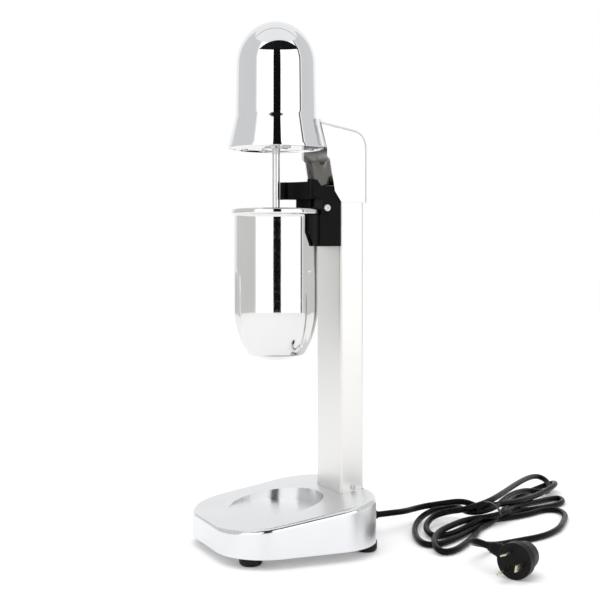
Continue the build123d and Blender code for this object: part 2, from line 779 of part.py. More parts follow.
def lever_ear(side):
    """Flat ear from the pivot up to the end of the arc, on one side."""
    x0 = column_width / 2 + ear_gap
    profile = Polyline((lever_pivot_y - 5.5, lever_pivot_z - 5.5), (lever_pivot_y + 5.5, lever_pivot_z - 5.5),
                       (lever_pivot_y + 5.5, lever_pivot_z + 7), (spindle_y + 31, lever_top_z),
                       (spindle_y + 22, lever_top_z), (spindle_y + 22, lever_bottom_z + 3),
                       (spindle_y + 26, lever_bottom_z), (lever_pivot_y - 5.5, lever_bottom_z), close=True)
    face = make_face(profile)
    plate = Plane.YZ * face
    ear = extrude(plate, amount=lever_ear_thickness)
    return Pos(x0, 0, 0) * ear if side > 0 else Pos(-x0 - lever_ear_thickness, 0, 0) * ear


def switch_lever():
    """Arc band round the back of the cup's mouth, on two ears that pivot on the bracket."""
    band = ring(lever_outer_r, lever_inner_r, lever_bottom_z, lever_top_z) & wedge(lever_half_angle)
    body = band + lever_ear(-1) + lever_ear(1)
    axis_start = (-60, lever_pivot_y, lever_pivot_z)
    return body - rod_along(axis_start, (60, lever_pivot_y, lever_pivot_z), pivot_r + running)


def lever_pivot_screws():
    """Shoulder screws that the lever turns on."""
    screws = []
    for side in (-1, 1):
        shoulder = column_width / 2
        head_x = shoulder + ear_gap + lever_ear_thickness + seat_gap
        head = screw((side * head_x, lever_pivot_y, lever_pivot_z), (-side, 0, 0), pivot_head_r, 2.6, pivot_r,
                     head_x - shoulder)
        stud = rod_along((side * shoulder, lever_pivot_y, lever_pivot_z),
                         (side * (shoulder - 5), lever_pivot_y, lever_pivot_z), pivot_thread_r)
        screws.append(head + stud)
    return screws


def microswitch_body():
    """Snap-action switch in the bracket's pocket."""
    y0 = spindle_y + switch_setback
    body = block(-10, 10, y0, y0 + 8.5, pocket_z + slip, pocket_z + slip + 15)
    body = body - block(-2 - slip, 2 + slip, y0 - 1, y0 + 5, plunger_z - 2 - slip, plunger_z + 2 + slip)
    for x in (-6.5, 0.0, 6.5):
        body = body + block(x - 1.2, x + 1.2, y0 + 2.6, y0 + 3.2, pocket_z + 15, pocket_z + 19)
    return body


def microswitch_plunger():
    """Button of the switch, just behind the lever's band."""
    y0 = spindle_y + lever_outer_r + seat_gap
    y1 = spindle_y + switch_setback + 2.2
    body = block(-2, 2, y0, y1, plunger_z - 2, plunger_z + 2)
    return fillet(body.faces().sort_by(Axis.Y)[0].edges(), 0.6)


# --------------------------------------------------------------------- wiring
def terminal_block():
    """Ceramic connector strip over the column's mouth, inside the arm."""
    y0 = column_front_y - terminal_overhang
    body = block(-13, 13, y0, y0 + 16, terminal_z, terminal_z + 11)
    for x in (-8, 0, 8):
        body = body - rod(2.2, terminal_z - 0.01, terminal_z + 6, x, y0 + 5)
    return body


def terminal_screws():
    """Clamping screws of the connector strip, recessed in its lower face."""
    y0 = column_front_y - terminal_overhang
    return [rod(1.9, terminal_z + 2.5, terminal_z + 6, x, y0 + 5) for x in (-8, 0, 8)]


def filleted_tube(points, radius, share=0.45):
    """Round tube on straight runs joined by arcs as large as the runs allow."""
    points = [Vector(*point) for point in points]
    radii = []
    for before, corner, after in zip(points, points[1:], points[2:]):
        turn = (corner - before).get_angle(after - corner)
        shorter = min((corner - before).length, (after - corner).length)
        radii.append(share * shorter / math.tan(math.radians(turn) / 2))
    path = FilletPolyline(*points, radius=radii)
    start = Plane(path @ 0, z_dir=path % 0)
    return sweep(start * Circle(radius), path=path), radii, path.length


def inner_cable():
    """Mains cable from the gland up the column to the connector strip."""
    y_mid = (column_front_y + column_rear_y) / 2
    y_gland = column_rear_y - column_wall - 8.5
    points = [(cord_exit_x, y_gland, cord_exit_z), (0, y_mid + 1.4, cord_exit_z + 0.8),
              (0, y_mid - 0.5, cord_exit_z + 12), (0, y_mid, anchor_bottom_z), (0, y_mid + 1, 120), (0, y_mid - 2, 200),
              (0, y_mid - 3, 290), (0, y_mid - 5, 345), (0, column_front_y + 6, 378),
              (0, column_front_y + 6, terminal_z)]
    return filleted_tube(points, inner_cable_r)[0]


def motor_leads():
    """Pair of insulated leads from the connector strip through the bell's wall."""
    leads = []
    for x in (-2.2, 2.2):
        y0 = column_front_y - terminal_overhang
        points = [(x * 3.6, y0, terminal_z + 5), (x * 3.6, y0 - 2.4, terminal_z + 5),
                  (x, y0 - 3.4, saddle_z + 0.5), (x, spindle_y + bell_r + 2, saddle_z),
                  (x, spindle_y + bell_r - 6, saddle_z + 2.5)]
        leads.append(filleted_tube(points, 1.1)[0])
    return leads


# ----------------------------------------------------------------------- cord
def cord_gland():
    """Bush through the base's rear wall with a tapered relief on the outside."""
    y = base_rear_y
    axis = Plane((cord_exit_x, y, cord_exit_z), z_dir=(0, 1, 0))
    body = extrude(axis * Circle(gland_flange_r), amount=2.4)
    tail = loft([axis.offset(2.4) * Circle(gland_r), axis.offset(relief_length) * Circle(cord_r + 0.9)])
    nut_depth = y - column_rear_y + column_wall + slip
    neck = extrude(axis * Circle(gland_r), amount=-(nut_depth + 2.4))
    nut = extrude(axis.offset(-nut_depth) * RegularPolygon(gland_r + 2.6, 6), amount=-2.4)
    return body + tail + neck + nut


def cord_piece(points, name):
    """Free stretch of the cord; prints its bend radii and checks its volume."""
    solid, radii, length = filleted_tube(points, cord_r)
    share = solid.volume / (math.pi * cord_r ** 2 * length)
    print(name, "length %.0f" % length, "radii", " ".join("%.0f" % r for r in radii), "volume share %.3f" % share)
    return solid


lead_points = [(cord_exit_x, base_rear_y + relief_length, cord_exit_z), (cord_exit_x, 127, cord_exit_z),
               (-8, 145, 18), (-20, 162, 15), (-27, 181, 12), (-27, 198, 10)]
tail_points = [(-10, 332, 5), (14, 332, 4), (38, 320, 3.4), (62, 297, 3.3), (82, 270, 3.4), (94, 240, 3.3),
               (97, 210, 3.4), (104, 183, 4.6), (117, 161, 11), (128, 141, 18), (139.5, 131.5, 23.5)]


def hank_outline():
    """Plan of the tied hank: two bunches of loops and a waist."""
    left = [(-34, 194), (-14, 165), (21, 139), (60, 122), (102, 121), (111, 136), (84, 174), (56, 206)]
    right = [(34, 250), (24, 295), (4, 328), (-16, 362), (-62, 399), (-100, 396), (-97, 377), (-62, 331), (-36, 300)]
    waist = [(-14, 262), (-14, 232)]
    return make_face(Polyline(*(left + right + waist), close=True))


def hank_axis():
    """Plane at the tie, looking along the hank."""
    return Plane(tie_place, x_dir=(0.891, 0.454, 0), z_dir=(-0.454, 0.891, 0))


def cord_hank():
    """Closed stand-in for the loops, thicker where they are tied."""
    flat = Pos(0, 0, 0.4) * extrude(hank_outline(), amount=hank_height)
    axis = hank_axis()
    waist = extrude(axis * Ellipse(tie_half_width, tie_half_height), amount=hank_waist_length / 2, both=True)
    return flat + waist


def cord_tie():
    """Twist tie round the waist of the hank."""
    axis = hank_axis()
    outer = extrude(axis * Ellipse(tie_half_width + 1.0, tie_half_height + 1.0), amount=1.5, both=True)
    inner = extrude(axis * Ellipse(tie_half_width, tie_half_height), amount=3, both=True)
    band = outer - inner
    return band - cord_hank()


# ----------------------------------------------------------------------- plug
def plug_plane():
    """Front face of the plug, looking along its pins."""
    return Plane(plug_front, x_dir=(0.866, 0.5, 0), z_dir=(0.5, -0.866, 0))


def plug_body():
    """Round moulded plug lying on its edge: a disc in front and a tapered grip behind it."""
    face = plug_plane()
    disc = extrude(face * Circle(plug_r), amount=-plug_disc_depth)
    disc = fillet(disc.edges().sort_by(Axis(face.origin, face.z_dir)), 1.0)
    grip = loft([face.offset(-plug_disc_depth + 1.0) * Circle(plug_r - 1.2), face.offset(-plug_depth) * Circle(plug_back_r)])
    back = grip.faces().sort_by(Axis(face.origin, face.z_dir))[0]
    return disc + chamfer(back.edges(), 2.0)


def plug_relief():
    """Ribbed relief out of the plug's side."""
    base = plug_axis(plug_r - 2.0)
    tip = plug_axis(plug_r + plug_relief_length)
    way = Plane(base, z_dir=tip - base)
    length = (tip - base).length
    body = loft([way * Circle(7.0), way.offset(length) * Circle(cord_r + 0.9)])
    for share in (0.3, 0.5, 0.7):
        at = way.offset(length * share)
        body = body + extrude(at * Circle(7.4 - 2.9 * share), amount=2.0)
    return body - plug_body()


def plug_axis(radius):
    """Point on the relief's line at a distance from the plug's centre line."""
    face = plug_plane()
    centre = face.origin - face.z_dir * plug_relief_setback
    rise = math.radians(plug_relief_rise)
    way = face.x_dir * -math.cos(rise) + Vector(0, 0, 1) * math.sin(rise)
    return centre + way * radius


def plug_pins():
    """Two flat pins across the front face and a longer one along it."""
    face = plug_plane()
    pins = []
    for turn, wide, high, tall in ((110, 1.6, 6.3, 16.0), (350, 1.6, 6.3, 16.0), (230, 6.3, 1.6, 19.0)):
        place = face * Rot(0, 0, turn) * Pos(9.0, 0, 0)
        slab = extrude(place * Rectangle(wide, high), amount=tall)
        pins.append(chamfer(slab.faces().sort_by(Axis(face.origin, face.z_dir))[-1].edges(), 0.5))
    return pins


def tail_route():
    """Route of the cord from the hank, straight into the plug's relief at its end."""
    tip = plug_r + plug_relief_length
    return tail_points + [plug_axis(tip + 11.0), plug_axis(tip)]


# ---------------------------------------------------------------------- build
def main():
    """Write every node."""
    os.makedirs("parts", exist_ok=True)
    save("base_casting", base_casting())
    save("base_plate", base_plate())
    for name, place in foot_places().items():
        save("foot_" + name, foot(*place))
    save("foot_screws", *foot_screws())
    save("column_tube", column_tube())
    save("column_anchor_block", column_anchor_block())
    save("column_top_block", column_top_block())
    save("column_side_screws", *[screw(at, way, 2.8, 1.6, side_screw_r - 0.05, 9) for at, way in side_screw_lines()])
    save("column_base_bolts", *[screw((x, y, base_bottom_z), (0, 0, 1), 4.6, 2.4, anchor_bolt_r - 0.05,
                                      anchor_bottom_z + anchor_bolt_grip - base_bottom_z)
                                for x, y in anchor_bolt_places()])
    save("arm_housing", arm_housing())
    save("arm_underside", arm_underside())
    save("arm_screws", *[screw(at, way, 3.6, 2.0, side_screw_r - 0.05, arm_screw_length)
                         for at, way in rear_screw_lines()])
    save("head_bell", head_bell())
    save("head_saddle", head_saddle())
    save("head_saddle_screws", *[screw(at, way, 3.0, 1.6, saddle_screw_r - 0.05, 7.2)
                                 for at, way in saddle_screw_lines()])
    save("head_bottom_plate", head_bottom_plate())
    save("head_rim_ring", head_rim_ring())
    save("head_plate_screws", *[screw((x, y, head_plate_z), (0, 0, 1), 3.0, 1.0, plate_screw_r - 0.05, 6.4)
                                for x, y in plate_screw_places()])
    save("bearing_cap", bearing_cap())
    save("motor_stator", motor_stator())
    save("field_windings", *field_windings())
    save("motor_end_frame", motor_end_frame())
    save("motor_spacers", *motor_spacers())
    save("motor_bolts", *motor_bolts())
    save("brush_holders", *brush_holders())
    save("carbon_brushes", *carbon_brushes())
    save("lower_bearing", ball_bearing(bearing_z, bearing_height, bearing_r, shaft_r + running))
    save("upper_bearing", ball_bearing(end_frame_z, upper_bearing_height, upper_bearing_r, shaft_r + running))
    save("rotor_core", rotor_core())
    save("armature_windings", *armature_windings())
    save("commutator", commutator())
    save("motor_shaft", motor_shaft())
    save("cooling_fan", cooling_fan())
    save("spindle", spindle())
    save("agitator", agitator())
    save("agitator_nut", agitator_nut())
    save("cup", cup())
    save("cup_bracket", cup_bracket())
    save("cup_cradle", cup_cradle())
    save("bracket_screws", *[screw(at, way, bracket_head_r, 1.8, side_screw_r - 0.05, 7)
                             for at, way in bracket_screw_lines()])
    save("switch_lever", switch_lever())
    save("lever_pivot_screws", *lever_pivot_screws())
    save("microswitch_body", microswitch_body())
    save("microswitch_plunger", microswitch_plunger())
    save("terminal_block", terminal_block())
    save("terminal_screws", *terminal_screws())
    save("inner_cable", inner_cable())
    save("motor_leads", *motor_leads())
    save("cord_gland", cord_gland())
    save("cord_lead", cord_piece(lead_points, "cord_lead") - cord_hank())
    save("cord_hank", cord_hank())
    save("cord_tail", cord_piece(tail_route(), "cord_tail") - cord_hank())
    save("cord_tie", cord_tie())
    save("plug_body", plug_body())
    save("plug_relief", plug_relief())
    save("plug_pins", *plug_pins())


main()
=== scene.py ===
"""Milkshake mixer: the fine pieces, finishes and studio round the packed model."""
import json
import math

import bmesh
import bpy
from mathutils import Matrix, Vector


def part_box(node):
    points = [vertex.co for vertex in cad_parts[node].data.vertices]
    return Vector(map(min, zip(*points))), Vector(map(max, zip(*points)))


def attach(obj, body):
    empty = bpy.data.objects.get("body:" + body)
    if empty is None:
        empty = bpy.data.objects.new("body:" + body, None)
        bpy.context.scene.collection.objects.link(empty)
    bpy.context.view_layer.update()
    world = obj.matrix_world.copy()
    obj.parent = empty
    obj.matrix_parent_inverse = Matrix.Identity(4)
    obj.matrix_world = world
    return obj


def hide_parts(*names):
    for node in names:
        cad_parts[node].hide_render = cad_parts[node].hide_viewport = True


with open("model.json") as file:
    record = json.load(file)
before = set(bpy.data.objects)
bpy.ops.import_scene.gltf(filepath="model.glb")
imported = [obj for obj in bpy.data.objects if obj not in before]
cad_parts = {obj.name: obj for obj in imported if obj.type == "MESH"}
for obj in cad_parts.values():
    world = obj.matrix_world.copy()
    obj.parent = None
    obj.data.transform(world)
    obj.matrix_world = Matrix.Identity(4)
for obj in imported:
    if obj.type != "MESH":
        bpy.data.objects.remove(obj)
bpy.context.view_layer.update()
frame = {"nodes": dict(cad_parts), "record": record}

bl_info = {
    "name": "Milkshake mixer",
    "version": (1, 0, 0),
    "blender": (4, 5, 0),
    "location": "View3D > Sidebar > Mixer",
    "description": "Fine pieces, finishes and studio of a countertop milkshake mixer",
    "category": "Object",
}

nodes = frame["nodes"]
made = {}


def low(node):
    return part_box(node)[0]


def high(node):
    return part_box(node)[1]


# --------------------------------------------------------------- settings
spindle_y = (low("spindle").y + high("spindle").y) / 2


class MixerStageSettings(bpy.types.PropertyGroup):
    """Where the camera stands and how the studio is lit"""
    camera_turn: bpy.props.FloatProperty(
        name="Camera turn", description="Angle round the spindle at which the camera stands",
        default=math.radians(65), subtype="ANGLE")
    camera_distance: bpy.props.FloatProperty(
        name="Camera distance", description="Level distance from the spindle to the camera",
        default=1.12, unit="LENGTH")
    camera_side: bpy.props.FloatProperty(
        name="Camera side step", description="How far the camera stands to the right of the spindle",
        default=0.024, unit="LENGTH")
    camera_height: bpy.props.FloatProperty(
        name="Camera height", description="Height of the camera over the counter", default=0.2993, unit="LENGTH")
    camera_lens: bpy.props.FloatProperty(
        name="Lens", description="Focal length on a 36 mm wide sensor, in millimetres", default=67.2)
    camera_shift: bpy.props.FloatProperty(
        name="Lens shift", description="Upright shift of the level lens", default=-0.0885)
    floor_tone: bpy.props.FloatVectorProperty(
        name="Floor", description="Colour of the studio floor", size=3, subtype="COLOR",
        default=(0.86, 0.86, 0.87), min=0, max=1)
    sky_strength: bpy.props.FloatProperty(
        name="Surround", description="Brightness of the white surround", default=1.0, min=0)
    lamp_power: bpy.props.FloatProperty(
        name="Overhead lamp", description="Power of the soft lamp overhead, in watts", default=24, min=0)
    box_strength: bpy.props.FloatProperty(
        name="Soft boxes", description="Brightness of the two large soft boxes", default=1.5, min=0)


class MixerBellSettings(bpy.types.PropertyGroup):
    """Sizes of the spun chrome bell"""
    rim_radius: bpy.props.FloatProperty(
        name="Rim radius", description="Outer radius at the open rim", default=high("head_bell").x, unit="LENGTH")
    crease_radius: bpy.props.FloatProperty(
        name="Crease radius", description="Radius where the flare meets the side", default=0.0403, unit="LENGTH")
    shoulder_radius: bpy.props.FloatProperty(
        name="Shoulder radius", description="Radius where the dome begins", default=0.0394, unit="LENGTH")
    crease_height: bpy.props.FloatProperty(
        name="Crease height", description="Height of the crease over the rim", default=0.0336, unit="LENGTH")
    dome_height: bpy.props.FloatProperty(
        name="Dome height", description="Height of the domed crown", default=0.0432, unit="LENGTH")
    wall: bpy.props.FloatProperty(
        name="Wall", description="Thickness of the metal", default=0.0014, unit="LENGTH")


class MixerCupSettings(bpy.types.PropertyGroup):
    """Sizes of the drawn steel cup"""
    side_radius: bpy.props.FloatProperty(
        name="Side radius", description="Outer radius of the straight side", default=0.0417, unit="LENGTH")
    bead_radius: bpy.props.FloatProperty(
        name="Bead radius", description="Outer radius of the rolled rim", default=high("cup").x, unit="LENGTH")
    bead_height: bpy.props.FloatProperty(
        name="Bead height", description="Height of the rolled rim", default=0.0063, unit="LENGTH")
    shoulder_height: bpy.props.FloatProperty(
        name="Shoulder height", description="Height at which the side starts to curve in", default=0.051,
        unit="LENGTH")
    foot_radius: bpy.props.FloatProperty(
        name="Foot radius", description="Radius of the stepped foot", default=0.0283, unit="LENGTH")
    foot_height: bpy.props.FloatProperty(
        name="Foot height", description="Height of the stepped foot", default=0.0045, unit="LENGTH")
    flat_radius: bpy.props.FloatProperty(
        name="Flat radius", description="Radius of the flat bottom", default=0.019, unit="LENGTH")
    wall: bpy.props.FloatProperty(
        name="Wall", description="Thickness of the metal", default=0.0008, unit="LENGTH")
    flutes: bpy.props.IntProperty(
        name="Flutes", description="Number of pressed flutes round the cup", default=3, min=0)
    flute_depth: bpy.props.FloatProperty(
        name="Flute depth", description="How far a flute is pressed in", default=0.0018, unit="LENGTH")
    flute_width: bpy.props.FloatProperty(
        name="Flute width", description="Half the angle that a flute takes", default=math.radians(11),
        subtype="ANGLE")
    flute_turn: bpy.props.FloatProperty(
        name="Flute turn", description="Direction of the first flute", default=math.radians(30), subtype="ANGLE")
    flute_bottom: bpy.props.FloatProperty(
        name="Flute bottom", description="Height over the cup's bottom at which flutes start", default=0.012,
        unit="LENGTH")
    flute_top: bpy.props.FloatProperty(
        name="Flute top", description="Height over the cup's bottom at which flutes end", default=0.090,
        unit="LENGTH")


class MixerCordSettings(bpy.types.PropertyGroup):
    """The mains cord and its plug"""
    diameter: bpy.props.FloatProperty(
        name="Diameter", description="Outer diameter of the cord", default=0.0064, unit="LENGTH")
    length: bpy.props.FloatProperty(
        name="Length", description="Length of the cord from the base to the plug", default=2.54, unit="LENGTH")
    jacket: bpy.props.FloatVectorProperty(
        name="Jacket", description="Colour of the jacket and the plug", size=3, subtype="COLOR",
        default=(0.003, 0.0031, 0.0032), min=0, max=1)


class MixerFinishSettings(bpy.types.PropertyGroup):
    """Colours of the metals and the black parts"""
    chrome: bpy.props.FloatVectorProperty(
        name="Chrome", description="Colour of the plated bell", size=3, subtype="COLOR",
        default=(0.80, 0.81, 0.83), min=0, max=1)
    steel: bpy.props.FloatVectorProperty(
        name="Steel", description="Colour of the brushed steel sheet", size=3, subtype="COLOR",
        default=(0.76, 0.755, 0.735), min=0, max=1)
    casting: bpy.props.FloatVectorProperty(
        name="Casting", description="Colour of the cast base", size=3, subtype="COLOR",
        default=(0.78, 0.79, 0.80), min=0, max=1)
    black: bpy.props.FloatVectorProperty(
        name="Black", description="Colour of the black fittings", size=3, subtype="COLOR",
        default=(0.003, 0.003, 0.0033), min=0, max=1)
    brass: bpy.props.FloatVectorProperty(
        name="Brass", description="Colour of the plug's pins", size=3, subtype="COLOR",
        default=(0.62, 0.58, 0.44), min=0, max=1)


settings_groups = {
    "mixer_stage": MixerStageSettings,
    "mixer_bell": MixerBellSettings,
    "mixer_cup": MixerCupSettings,
    "mixer_cord": MixerCordSettings,
    "mixer_finish": MixerFinishSettings,
}


# --------------------------------------------------------------- materials
class Finish:
    """A procedural material with a colour, a roughness and a relief that vary over the piece."""

    def __init__(self, name, colour, metallic=0.0, roughness=0.4, slot="", **shader):
        self.material = bpy.data.materials.new(name)
        self.material.use_nodes = True
        self.tree = self.material.node_tree
        self.shader = self.tree.nodes["Principled BSDF"]
        self.shader.inputs["Base Color"].default_value = (*colour, 1)
        self.shader.inputs["Metallic"].default_value = metallic
        self.shader.inputs["Roughness"].default_value = roughness
        for socket, value in shader.items():
            self.shader.inputs[socket].default_value = value
        self.colour = colour
        self.slot = slot
        self.place = self.node("ShaderNodeTexCoord").outputs["Object"]
        self.relief = None

    def node(self, kind, **values):
        node = self.tree.nodes.new(kind)
        for name, value in values.items():
            setattr(node, name, value)
        return node

    def link(self, start, end):
        self.tree.links.new(start, end)

    def noise(self, scale, detail=3.0, roughness=0.55):
        """Noise whose grain can be longer one way than another; scale is per metre along X, Y and Z."""
        stretch = self.node("ShaderNodeMapping", vector_type="POINT")
        stretch.inputs["Scale"].default_value = scale
        self.link(self.place, stretch.inputs["Vector"])
        noise = self.node("ShaderNodeTexNoise")
        noise.inputs["Scale"].default_value = 1.0
        noise.inputs["Detail"].default_value = detail
        noise.inputs["Roughness"].default_value = roughness
        self.link(stretch.outputs["Vector"], noise.inputs["Vector"])
        return noise.outputs["Fac"]

    def between(self, value, low_value, high_value, start=0.3, end=0.7):
        spread = self.node("ShaderNodeMapRange", interpolation_type="SMOOTHSTEP")
        spread.inputs["From Min"].default_value = start
        spread.inputs["From Max"].default_value = end
        spread.inputs["To Min"].default_value = low_value
        spread.inputs["To Max"].default_value = high_value
        self.link(value, spread.inputs["Value"])
        return spread.outputs["Result"]

    def vary_roughness(self, scale, low_value, high_value, **noise):
        self.link(self.between(self.noise(scale, **noise), low_value, high_value), self.shader.inputs["Roughness"])
        return self

    def vary_colour(self, scale, darker, **noise):
        """Darkens the colour by up to this share in soft patches."""
        mix = self.node("ShaderNodeMix", data_type="RGBA", blend_type="MIX")
        mix.inputs[6].default_value = (*self.colour, 1)
        mix.inputs[7].default_value = (*(c * (1 - darker) for c in self.colour), 1)
        self.link(self.between(self.noise(scale, **noise), 0.0, 1.0), mix.inputs[0])
        self.link(mix.outputs[2], self.shader.inputs["Base Color"])
        return self

    def grain(self, scale, depth, strength=1.0, **noise):
        """Raises a relief of this depth in metres from a noise."""
        bump = self.node("ShaderNodeBump")
        bump.inputs["Strength"].default_value = strength
        bump.inputs["Distance"].default_value = depth
        self.link(self.noise(scale, **noise), bump.inputs["Height"])
        if self.relief:
            self.link(self.relief, bump.inputs["Normal"])
        self.relief = bump.outputs["Normal"]
        self.link(self.relief, self.shader.inputs["Normal"])
        return self

    def polished_edges(self, satin, bright, recess_radius):
        """Keeps level faces and outer walls satin and turns rounded edges and the recess wall bright."""
        normal = self.node("ShaderNodeSeparateXYZ")
        self.link(self.node("ShaderNodeNewGeometry").outputs["Normal"], normal.inputs["Vector"])
        level = self.between(normal.outputs["Z"], 0.0, 1.0, 0.965, 0.985)
        upright = self.between(normal.outputs["Z"], 1.0, 0.0, 0.08, 0.3)
        from_spindle = self.node("ShaderNodeMapping", vector_type="POINT")
        from_spindle.inputs["Location"].default_value = (0, -spindle_y, 0)
        from_spindle.inputs["Scale"].default_value = (1, 1, 0)
        self.link(self.place, from_spindle.inputs["Vector"])
        reach = self.node("ShaderNodeVectorMath", operation="LENGTH")
        self.link(from_spindle.outputs["Vector"], reach.inputs[0])
        outside = self.between(reach.outputs["Value"], 0.0, 1.0, recess_radius, recess_radius + 0.001)
        walls = self.node("ShaderNodeMath", operation="MULTIPLY")
        self.link(upright, walls.inputs[0])
        self.link(outside, walls.inputs[1])
        dull = self.node("ShaderNodeMath", operation="MAXIMUM")
        self.link(level, dull.inputs[0])
        self.link(walls.outputs["Value"], dull.inputs[1])
        self.link(self.between(dull.outputs["Value"], bright, satin, 0.0, 1.0), self.shader.inputs["Roughness"])
        return self


def make_finishes(scene):
    """Every material of the mixer, by the name that the pieces use."""
    tone = scene.mixer_finish
    jacket = scene.mixer_cord.jacket
    finishes = {}

    def add(key, *args, **kwargs):
        finishes[key] = Finish("mixer_" + key, *args, **kwargs)
        return finishes[key]

    chrome = tuple(tone.chrome)
    steel = tuple(tone.steel)
    black = tuple(tone.black)
    add("bell_chrome", chrome, 1.0, 0.03, "bell_chrome").vary_roughness((60, 60, 25), 0.02, 0.05).grain(
        (18, 18, 9), 0.00035, 0.35, detail=1.0).vary_colour((30, 30, 12), 0.03)
    add("cup_steel", (0.74, 0.74, 0.73), 1.0, 0.07, "cup_steel").vary_roughness((40, 40, 600), 0.05, 0.10).grain(
        (30, 30, 12), 0.0003, 0.4, detail=1.0).vary_colour((25, 25, 8), 0.05)
    add("cast_satin", tuple(tone.casting), 1.0, 0.3, "cast_aluminium").polished_edges(0.32, 0.13, 0.0478).grain(
        (700, 90, 700), 0.00004, 0.5).vary_colour((14, 14, 14), 0.04)
    add("column_steel", steel, 1.0, 0.3, "steel_sheet").vary_roughness((1200, 1200, 14), 0.28, 0.34).grain(
        (1400, 1400, 12), 0.00002, 0.15).vary_colour((8, 8, 5), 0.03)
    add("arm_satin", (0.80, 0.80, 0.795), 1.0, 0.35, "arm_steel").vary_roughness((900, 60, 900), 0.30, 0.42).grain(
        (900, 60, 900), 0.00003, 0.35).vary_colour((10, 10, 10), 0.03)
    add("mirror_sheet", (0.72, 0.72, 0.70), 1.0, 0.08, "arm_steel").vary_roughness((60, 60, 60), 0.05, 0.12).grain(
        (40, 40, 40), 0.0002, 0.3, detail=1.0)
    # painted reflection: polished steel of the arm's underside with its colour painted dark, standing in for the dark
    # parts it mirrors
    add("dark_mirror", (0.15, 0.145, 0.13), 1.0, 0.09, "arm_steel").vary_roughness(
        (60, 60, 60), 0.06, 0.12).grain((40, 40, 40), 0.0002, 0.3, detail=1.0)
    add("bright_steel", (0.70, 0.70, 0.70), 1.0, 0.12, "bright_steel").vary_roughness(
        (300, 300, 1500), 0.08, 0.16).vary_colour((60, 60, 60), 0.06)
    add("black_satin", black, 0.0, 0.32, "black_plastic", **{"Specular IOR Level": 0.08}).vary_roughness(
        (260, 260, 260), 0.26, 0.40).grain((1500, 1500, 1500), 0.00002, 0.4).vary_colour((70, 70, 70), 0.25)
    add("foot_rubber", (0.008, 0.008, 0.008), 0.0, 0.5, "foot_rubber", **{"Specular IOR Level": 0.2}).vary_roughness(
        (200, 200, 200), 0.42, 0.6).grain((900, 900, 900), 0.00004, 0.5).vary_colour((90, 90, 90), 0.3)
    add("zinc_screw", (0.60, 0.60, 0.58), 1.0, 0.28, "zinc_screw").vary_roughness(
        (700, 700, 700), 0.22, 0.38).grain((900, 900, 900), 0.00003, 0.4).vary_colour((300, 300, 300), 0.12)
    add("laminated_iron", (0.25, 0.25, 0.26), 1.0, 0.42, "laminated_iron").vary_roughness(
        (40, 40, 1800), 0.34, 0.55).grain((10, 10, 2000), 0.00012, 0.8, detail=0.0).vary_colour((20, 20, 1400), 0.3)
    add("copper_wire", (0.58, 0.22, 0.09), 1.0, 0.30, "copper_wire").vary_roughness(
        (900, 900, 900), 0.24, 0.4).grain((1600, 260, 1600), 0.00015, 0.8).vary_colour((1400, 200, 1400), 0.35)
    add("carbon", (0.03, 0.03, 0.032), 0.0, 0.62, "carbon").vary_roughness((500, 500, 500), 0.5, 0.7).grain(
        (1200, 1200, 1200), 0.00004, 0.5).vary_colour((400, 400, 400), 0.3)
    add("brass", (0.70, 0.52, 0.22), 1.0, 0.25, "brass").vary_roughness((500, 500, 500), 0.18, 0.34).vary_colour(
        (220, 220, 220), 0.15)
    add("ceramic", (0.80, 0.78, 0.72), 0.0, 0.35, "ceramic").vary_roughness((300, 300, 300), 0.3, 0.45).grain(
        (700, 700, 700), 0.00005, 0.4).vary_colour((150, 150, 150), 0.12)
    add("fan_plastic", (0.42, 0.43, 0.45), 0.0, 0.45, "fan_plastic").vary_roughness(
        (300, 300, 300), 0.38, 0.52).grain((900, 900, 900), 0.00003, 0.4).vary_colour((120, 120, 120), 0.12)
    add("jacket", tuple(jacket), 0.0, 0.28, "cable_jacket", **{"Specular IOR Level": 0.09}).vary_roughness(
        (220, 220, 220), 0.22, 0.36).grain((700, 700, 700), 0.00006, 0.35).vary_colour((90, 90, 90), 0.25)
    add("plug_black", (0.006, 0.0062, 0.0062), 0.0, 0.42, "cable_jacket", **{"Specular IOR Level": 0.12}).vary_roughness(
        (300, 300, 300), 0.36, 0.50).grain((1800, 1800, 1800), 0.00004, 0.5).vary_colour((80, 80, 80), 0.2)
    add("pin_metal", tuple(tone.brass), 1.0, 0.2, "brass").vary_roughness((400, 400, 400), 0.14, 0.3).vary_colour(
        (200, 200, 200), 0.18)
    add("tie_wire", (0.02, 0.02, 0.02), 0.0, 0.4, "tie_wire").vary_roughness((300, 300, 300), 0.34, 0.5).grain(
        (900, 900, 900), 0.00005, 0.4)
    made["finishes"] = finishes
    return finishes


def finish_of(key):
    return made["finishes"][key].material


def dress(piece, key):
    """Gives a piece its only material."""
    piece.data.materials.clear()
    piece.data.materials.append(finish_of(key))
    return piece


# --------------------------------------------------------------- mesh tools
def link_piece(name, mesh):
    piece = bpy.data.objects.new(name, mesh)
    bpy.context.scene.collection.objects.link(piece)
    return piece


def baked(piece):
    """Turns a piece with live modifiers into a plain mesh at the origin."""
    bpy.context.view_layer.update()
    plain = bpy.data.meshes.new_from_object(piece.evaluated_get(bpy.context.evaluated_depsgraph_get()))
    plain.name = piece.name
    piece.modifiers.clear()
    if piece.type == "MESH":
        piece.data = plain
        return piece
    name = piece.name
    bpy.data.objects.remove(piece)
    return link_piece(name, plain)


def merged_copy(name, *names):
    """One mesh of these CAD nodes, with their loose triangles joined."""
    shape = bmesh.new()
    for node in names:
        shape.from_mesh(nodes[node].data)
    bmesh.ops.remove_doubles(shape, verts=shape.verts, dist=2e-6)
    bmesh.ops.dissolve_degenerate(shape, edges=shape.edges, dist=1e-6)
    mesh = bpy.data.meshes.new(name)
    shape.to_mesh(mesh)
    shape.free()
    return link_piece(name, mesh)


